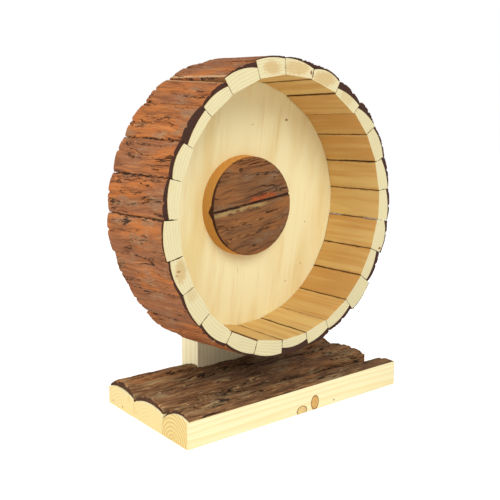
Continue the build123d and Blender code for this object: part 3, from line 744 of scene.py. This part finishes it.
def slab_bark_tree():
    """A slab's bark, laid over its wood, with worn ends. It bridges the post's notch, which is
    cut out afterwards."""
    graph, size = shape_tree("slab_bark", ["Front", "Depth", "Length", "Notch Front",
                                           "Notch Half Width"], ["Bark", "Wood"])
    mesh, (u, v, w) = block(graph, 330, 60, 2)
    x = (u - 0.5) * size["Length"]
    y = size["Front"] + size["Depth"] * v
    point = graph.combine(y, x, 0.0)
    bark = bark_form(graph, point, *SLAB_BARK_FORM)
    lump = graph.noise(point, (14.0, 40.0, 10.0), 63.0)
    in_notch = (graph.math("GREATER_THAN", y, size["Notch Front"] - 0.4)
                * graph.math("LESS_THAN", abs(x), size["Notch Half Width"] + 0.4))
    beside = graph.math("SIGN", x) * (size["Notch Half Width"] + 0.5)
    own_x = graph.mix(x, beside, in_notch) * (1.0 - RAY_INSET / SLAB_HALF_LENGTH)
    waver = ((graph.noise(point, (60.0, 18.0, 10.0), 3.0, 3.0) - 0.5) * 0.16
             * graph.smooth(graph.math("MINIMUM", v, 1.0 - v), 0.0, 0.2))
    inset = RAY_INSET / SLAB_WIDTH
    own_y = size["Front"] + size["Depth"] * (inset + (v + waver) * (1.0 - 2 * inset))
    above = graph.combine(own_x, own_y, ABOVE_SLABS)
    down = graph.combine(0.0, 0.0, -1.0)
    under = met_by_ray(graph, size["Wood"], above, down)[2]
    crown = met_by_ray(graph, size["Bark"], above, down)[2]
    from_end = graph.math("MINIMUM", u, 1.0 - u) * size["Length"]
    end_fall = graph.smooth(from_end, graph.mix(0.8, 3.0, lump), 0.0) * 0.8
    worn = crown + bark["height"] - end_fall - (1.0 - lump) * 0.5
    over = graph.largest(under + THIN_BARK, worn)
    z = graph.mix(under, over, w)
    torn = graph.noise(graph.combine(y, z, 0.0), (4.0, 3.0, 1.0), 87.0, 3.0)
    x = x * (1.0 - graph.smooth(from_end, 1.0, 0.0) * torn * 0.012)
    position = graph.combine(x, y, z)
    down_side = (w - 1.0) * (over - under)
    grain = graph.combine(y + down_side, x, 0.0)
    # Painted shade: the bark's sides darker further down, in the valleys between the slabs, kept
    # as its joint value
    painted_side_shade = graph.smooth(down_side, -0.5, -4.0) * 0.6
    return shaped(graph, mesh, position, {"grain": grain, "joint": painted_side_shade}, slab_bark)


def cap_bark_tree():
    """The hub cap's bark, a square block drawn out to a round and laid over the cap's wood."""
    graph, size = shape_tree("hub_cap_bark", ["Radius", "Back", "Taper"], ["Bark", "Wood"])
    mesh, (u, v, w) = block(graph, 120, 120, 3)
    sideways = u * 2.0 - 1.0
    upward = v * 2.0 - 1.0
    ragged = graph.noise(graph.combine(sideways * 40.0, upward * 40.0, 0.0), (3.0, 3.0, 1.0),
                         3.0, 3.0) * 0.02
    x = sideways * graph.math("SQRT", 1.0 - upward * upward * 0.5)
    z = upward * graph.math("SQRT", 1.0 - sideways * sideways * 0.5)
    reach = size["Radius"] - CAP_THICKNESS * size["Taper"] - 2 * RAY_INSET
    toward = graph.combine(0.0, 1.0, 0.0)
    front = graph.combine(x * reach, BEFORE_CAP, z * reach + AXLE_HEIGHT)
    crest = met_by_ray(graph, size["Bark"], front, toward)[1]
    under = met_by_ray(graph, size["Wood"], front, toward)[1]
    along = (x * cos(GRAIN_TILT) + z * sin(GRAIN_TILT)) * reach + CAP_GRAIN_START
    across = (z * cos(GRAIN_TILT) - x * sin(GRAIN_TILT)) * reach
    bark = bark_form(graph, graph.combine(across, along, 0.0), *CAP_BARK_FORM)
    rim = graph.smooth(graph.math("SQRT", x * x + z * z), 0.94, 1.0) * 0.4
    height = graph.largest(THIN_CAP_BARK, under - crest + bark["height"] - rim)
    y = under - height * w
    taper = (size["Radius"] - (size["Back"] - y) * size["Taper"]) * (1.0 - ragged * w)
    grain = graph.combine(across, along, (w - 1.0) * height)
    position = graph.combine(x * taper, y, z * taper + AXLE_HEIGHT)
    return shaped(graph, mesh, position, {"grain": grain}, cap_bark)


# Angles in degrees past which an edge stays sharp
WOOD_SHARP, BARK_SHARP, CAP_BARK_SHARP, EASED_SHARP = 50.0, 65.0, 60.0, 35.0


def grow(tree, name, sizes, sharp=WOOD_SHARP):
    """One piece grown by a tree with these sizes, kept as a plain mesh."""
    piece = bpy.data.objects.new(name, bpy.data.meshes.new(name))
    growth = piece.modifiers.new("growth", "NODES")
    growth.node_group = tree
    for item in tree.interface.items_tree:
        if item.in_out == "INPUT":
            growth[item.identifier] = sizes[item.name]
    scene.collection.objects.link(piece)
    settle(piece, sharp)
    return piece


def settle(piece, sharp):
    """Turns what a piece's modifiers make into its own plain mesh."""
    ready = piece.evaluated_get(bpy.context.evaluated_depsgraph_get())
    mesh = bpy.data.meshes.new_from_object(ready)
    piece.modifiers.clear()
    piece.data = mesh
    mesh.shade_smooth()
    mesh.set_sharp_from_angle(angle=radians(sharp))


# Staves and their bark

random.seed(25)
disc_low, disc_high = (np.array(corner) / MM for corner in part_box("back_disc"))
stave_low, stave_high = (np.array(corner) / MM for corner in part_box("stave_01"))
rim_front, rim_back = float(stave_low[1]), float(stave_high[1])
bark_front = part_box("stave_bark")[0][1] / MM
wood_tree = stave_wood_tree()
bark_tree = stave_bark_tree()
# How orange each stave's wood is inside the drum, from 0 to 1
STAVE_TONES = (0.3, 0.6, 0.9, 0.8, 0.35, 0.2, 0.5, 0.8, 1.0, 0.5, 0.15, 0.3, 0.2,
               0.4, 0.3, 0.5, 0.3, 0.4, 0.3, 0.4, 0.3, 0.4, 0.4, 0.4, 0.3)
# Staves with pale bark beside a joint, and the stave with a knot in its bark
PALE_JOINTS = {22: (0.0, 0.55), 23: (0.7, 0.0)}
BARK_KNOTS = {18: (12.0, -14.0)}
NO_KNOT = (-90.0, 0.0)


def stave_measure(name):
    """The angles at which a stave begins and ends, and how far its flat is from the axle."""
    points = points_of(nodes[name].data)
    points = points[np.abs(points[:, 1] - rim_front) < 0.05]
    x, z = points[:, 0], points[:, 2] - AXLE_HEIGHT
    middle = atan2(x.mean(), z.mean())
    turn = (np.arctan2(x, z) - middle + pi) % (2 * pi) - pi
    first, last = float(middle + turn.min()), float(middle + turn.max())
    return first, last, float(np.hypot(x, z).min() * cos((last - first) / 2))


for number in range(1, STAVE_COUNT + 1):
    name = f"stave_{number:02d}"
    first, last, flat = stave_measure(name)
    span = {"First": first, "Last": last, "Seed": float(number), "Wood": nodes[name]}
    piece = grow(wood_tree, f"split_{name}", {
        **span, "Front": rim_front, "Depth": rim_back - rim_front, "Flat": flat,
        "Seat Start": float(disc_low[1]), "Seat End": float(disc_high[1]),
        "Seat Radius": float(disc_high[0]), "Log Radius": random.uniform(58, 82),
        "Gap First": random.uniform(0.15, 0.6), "Gap Last": random.uniform(0.15, 0.6),
        "Tone": STAVE_TONES[number - 1]})
    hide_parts(name)
    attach(piece, "wheel")

    pale = PALE_JOINTS.get(number, (0.0, 0.0))
    knot = BARK_KNOTS.get(number, NO_KNOT)
    piece = grow(bark_tree, f"stave_bark_{number:02d}", {
        **span, "Front": bark_front, "Depth": rim_back - bark_front,
        "Joint First": random.uniform(0.1, 0.8), "Joint Last": random.uniform(0.1, 0.8),
        "Pale First": pale[0], "Pale Last": pale[1], "Knot Across": knot[0],
        "Knot Along": knot[1], "Fill": random.uniform(0.1, 0.8),
        "Tone": random.uniform(-0.7, 0.9), "Bark": nodes["stave_bark"]}, BARK_SHARP)
    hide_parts("stave_bark")
    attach(piece, "wheel")

# Base slabs, post and hub cap: the CAD shapes with their edges eased


def eased_copy(node, name, ease, material, body, log_origin, log_axes):
    """A node's own shape with its sharp edges eased, that knows its place in its log."""
    shape = bmesh.new()
    shape.from_mesh(nodes[node].data)
    bmesh.ops.remove_doubles(shape, verts=shape.verts, dist=1e-6)
    bmesh.ops.dissolve_limit(shape, angle_limit=radians(0.6), verts=shape.verts,
                             edges=shape.edges)
    mesh = bpy.data.meshes.new(name)
    shape.to_mesh(mesh)
    shape.free()
    if "custom_normal" in mesh.attributes:
        mesh.attributes.remove(mesh.attributes["custom_normal"])
    mesh.materials.clear()
    mesh.materials.append(material)
    piece = bpy.data.objects.new(name, mesh)
    scene.collection.objects.link(piece)
    bevel = piece.modifiers.new("ease", "BEVEL")
    bevel.width = ease * MM
    bevel.segments = 3
    bevel.limit_method = "ANGLE"
    bevel.angle_limit = radians(40)
    settle(piece, EASED_SHARP)
    mesh = piece.data
    points = points_of(mesh) - np.array(log_origin)
    log = points @ np.array(log_axes, dtype=float).T
    mesh.attributes.new("log", "FLOAT_VECTOR", "POINT").data.foreach_set("vector", log.ravel())
    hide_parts(node)
    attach(piece, body)


# A log's two cross directions and its length, for pieces cut along X, along Z and for the cap
ALONG_X = ((0, 1, 0), (0, 0, 1), (1, 0, 0))
ALONG_Z = ((1, 0, 0), (0, 1, 0), (0, 0, 1))
ALONG_CAP = ((-sin(GRAIN_TILT), 0, cos(GRAIN_TILT)), (0, -1, 0),
             (cos(GRAIN_TILT), 0, sin(GRAIN_TILT)))
bark_shape = slab_bark_tree()
notch_low, notch_high = (Vector(corner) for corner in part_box("post"))
# In metres: the gap round the post, and how far the cut runs out behind the slab
NOTCH_GAP = 0.0005
NOTCH_OVERRUN = 0.01


def cut_notch(piece):
    """Cuts the post's notch out of the back slab's bark."""
    cutter = bpy.data.objects.new("post_notch", bpy.data.meshes.new("post_notch"))
    scene.collection.objects.link(cutter)
    gap = Vector((NOTCH_GAP, NOTCH_GAP, 0.0))
    overrun = Vector((0.0, NOTCH_OVERRUN, 0.0))
    spot = (notch_low + notch_high + overrun) / 2
    reach = notch_high - notch_low + 2 * gap + overrun
    box = bmesh.new()
    bmesh.ops.create_cube(box, size=1.0)
    box.transform(Matrix.Translation(spot) @ Matrix.Diagonal((*reach, 1.0)))
    box.to_mesh(cutter.data)
    box.free()
    cut = piece.modifiers.new("notch", "BOOLEAN")
    cut.object = cutter
    cut.operation = "DIFFERENCE"
    settle(piece, BARK_SHARP)
    bpy.data.objects.remove(cutter)


# Each slab and where its log's pith was, behind its front edge and above the floor
for side, pith in (("front", (17.0, 0.0)), ("middle", (18.0, -3.0)), ("back", (15.0, -6.0))):
    low = np.array(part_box(f"base_slab_{side}")[0]) / MM
    sawn_wood = slab_wood if side == "front" else plain_slab_wood
    eased_copy(f"base_slab_{side}", f"log_slab_{side}", 0.5, sawn_wood, "stand",
               (900.0 * len(side), low[1] + pith[0], pith[1]), ALONG_X)
    low, high = (np.array(corner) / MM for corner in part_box(f"base_bark_{side}"))
    piece = grow(bark_shape, f"slab_bark_{side}", {
        "Front": float(low[1]), "Depth": float(high[1] - low[1]),
        "Length": float(high[0] - low[0]),
        "Notch Front": (notch_low.y - NOTCH_GAP) / MM,
        "Notch Half Width": (notch_high.x + NOTCH_GAP) / MM if side == "back" else -1.0,
        "Bark": nodes[f"base_bark_{side}"], "Wood": nodes[f"base_slab_{side}"]}, BARK_SHARP)
    if side == "back":
        cut_notch(piece)
    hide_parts(f"base_bark_{side}")
    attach(piece, "stand")

eased_copy("post", "post_board", 0.8, post_wood, "stand", (52.0, 95.0, 0.0),
           ALONG_Z)
eased_copy("hub_cap", "cap_slice", 0.4, cap_wood, "wheel",
           (0.0, 36.0, AXLE_HEIGHT), ALONG_CAP)

CAP_TAPER = radians(5.0)
cap_low, cap_high = (np.array(corner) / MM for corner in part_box("hub_cap"))
piece = grow(cap_bark_tree(), "cap_bark", {
    "Radius": float(cap_high[0] - cap_low[0]) / 2, "Back": float(cap_high[1]),
    "Taper": tan(CAP_TAPER), "Bark": nodes["hub_cap_bark"], "Wood": nodes["hub_cap"]},
    CAP_BARK_SHARP)
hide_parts("hub_cap_bark")
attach(piece, "wheel")

# Carried-over nodes


def paint(node, material):
    """Gives a CAD node that stays as it is its finish."""
    for slot in nodes[node].material_slots:
        slot.material = material


paint("back_disc", veneer)
for node in ("post_screws", "axle_bolt", "bolt_head_washer", "axle_spacer", "shim_washer",
             "lock_nut"):
    paint(node, zinc)
for node in ("bearing_inner_ring", "bearing_outer_ring", "bearing_shields", "bearing_balls"):
    paint(node, bearing_steel)
for node in ("bearing_cage", "lock_nut_insert"):
    paint(node, nylon)

# Floor, light and camera

scene.view_settings.view_transform = "Standard"
# The floor in metres: half its side, and how far it lies below the base
FLOOR_REACH = 6.0
FLOOR_GAP = 0.0003
# Light that the floor adds for the camera alone, and the light of the sky on the object
FLOOR_GLOW = 0.55
SKY_LIGHT = 0.52


def seen_directly(graph):
    """1 on rays from the camera, also by way of metal, and 0 on those that light the object."""
    rays = graph.add("ShaderNodeLightPath", output="Is Camera Ray")
    return graph.largest(rays, rays.other("Is Glossy Ray"), rays.other("Is Transmission Ray"))


floor_mesh = bpy.data.meshes.new("floor")
floor_mesh.from_pydata([(x * FLOOR_REACH, y * FLOOR_REACH, -FLOOR_GAP)
                        for x, y in ((-1, -1), (1, -1), (1, 1), (-1, 1))], [], [(0, 1, 2, 3)])
floor = bpy.data.objects.new("floor", floor_mesh)
scene.collection.objects.link(floor)
floor_paint, graph, shader = finish("white_floor")
shader.inputs["Base Color"].default_value = linear(246, 246, 246)
shader.inputs["Roughness"].default_value = 0.9
shader.inputs["Specular IOR Level"].default_value = 0.0
shader.inputs["Emission Color"].default_value = (1, 1, 1, 1)
graph.tree.links.new((seen_directly(graph) * FLOOR_GLOW).socket,
                     shader.inputs["Emission Strength"])
floor_mesh.materials.append(floor_paint)

world = bpy.data.worlds.new("studio")
scene.world = world
world.use_nodes = True
graph = Graph(world.node_tree)
sky = world.node_tree.nodes["Background"]
sky.inputs["Color"].default_value = (1, 1, 1, 1)
strength = graph.mix(SKY_LIGHT, 1.0, seen_directly(graph))
graph.tree.links.new(strength.socket, sky.inputs["Strength"])


LIT_SPOT = Vector((0, 0, 0.1))


def softbox(name, spot, size, watts):
    """A large square lamp that looks at the drum."""
    lamp = bpy.data.lights.new(name, "AREA")
    lamp.size = size
    lamp.energy = watts
    holder = bpy.data.objects.new(name, lamp)
    scene.collection.objects.link(holder)
    holder.location = spot
    holder.rotation_euler = (LIT_SPOT - Vector(spot)).to_track_quat("-Z", "Y").to_euler()


softbox("key_softbox", (-0.35, -1.45, 1.2), 1.0, 16.5)
softbox("side_softbox", (-1.6, 0.15, 0.4), 0.9, 12.0)

# The photograph's camera: its place in metres, its turns in radians, its lens in millimetres
# and its shift as a share of the picture
CAMERA_SPOT = (-0.3357, -0.4100, 0.2001)
YAW, PITCH, ROLL = 0.681, 0.166, 0.007
LENS, SENSOR = 51.31, 36.0
SHIFT_X, SHIFT_Y = -0.0094, 0.0036
forward = Vector((sin(YAW) * cos(PITCH), cos(YAW) * cos(PITCH), -sin(PITCH)))
level = Vector((cos(YAW), -sin(YAW), 0))
upright = level.cross(forward)
right = level * cos(ROLL) + upright * sin(ROLL)
up = upright * cos(ROLL) - level * sin(ROLL)
lens = bpy.data.cameras.new("camera")
lens.lens = LENS
lens.sensor_width = SENSOR
lens.shift_x = SHIFT_X
lens.shift_y = SHIFT_Y
camera = bpy.data.objects.new("camera", lens)
turn = Matrix((right, up, -forward)).transposed().to_4x4()
camera.matrix_world = Matrix.Translation(CAMERA_SPOT) @ turn
scene.collection.objects.link(camera)
scene.camera = camera
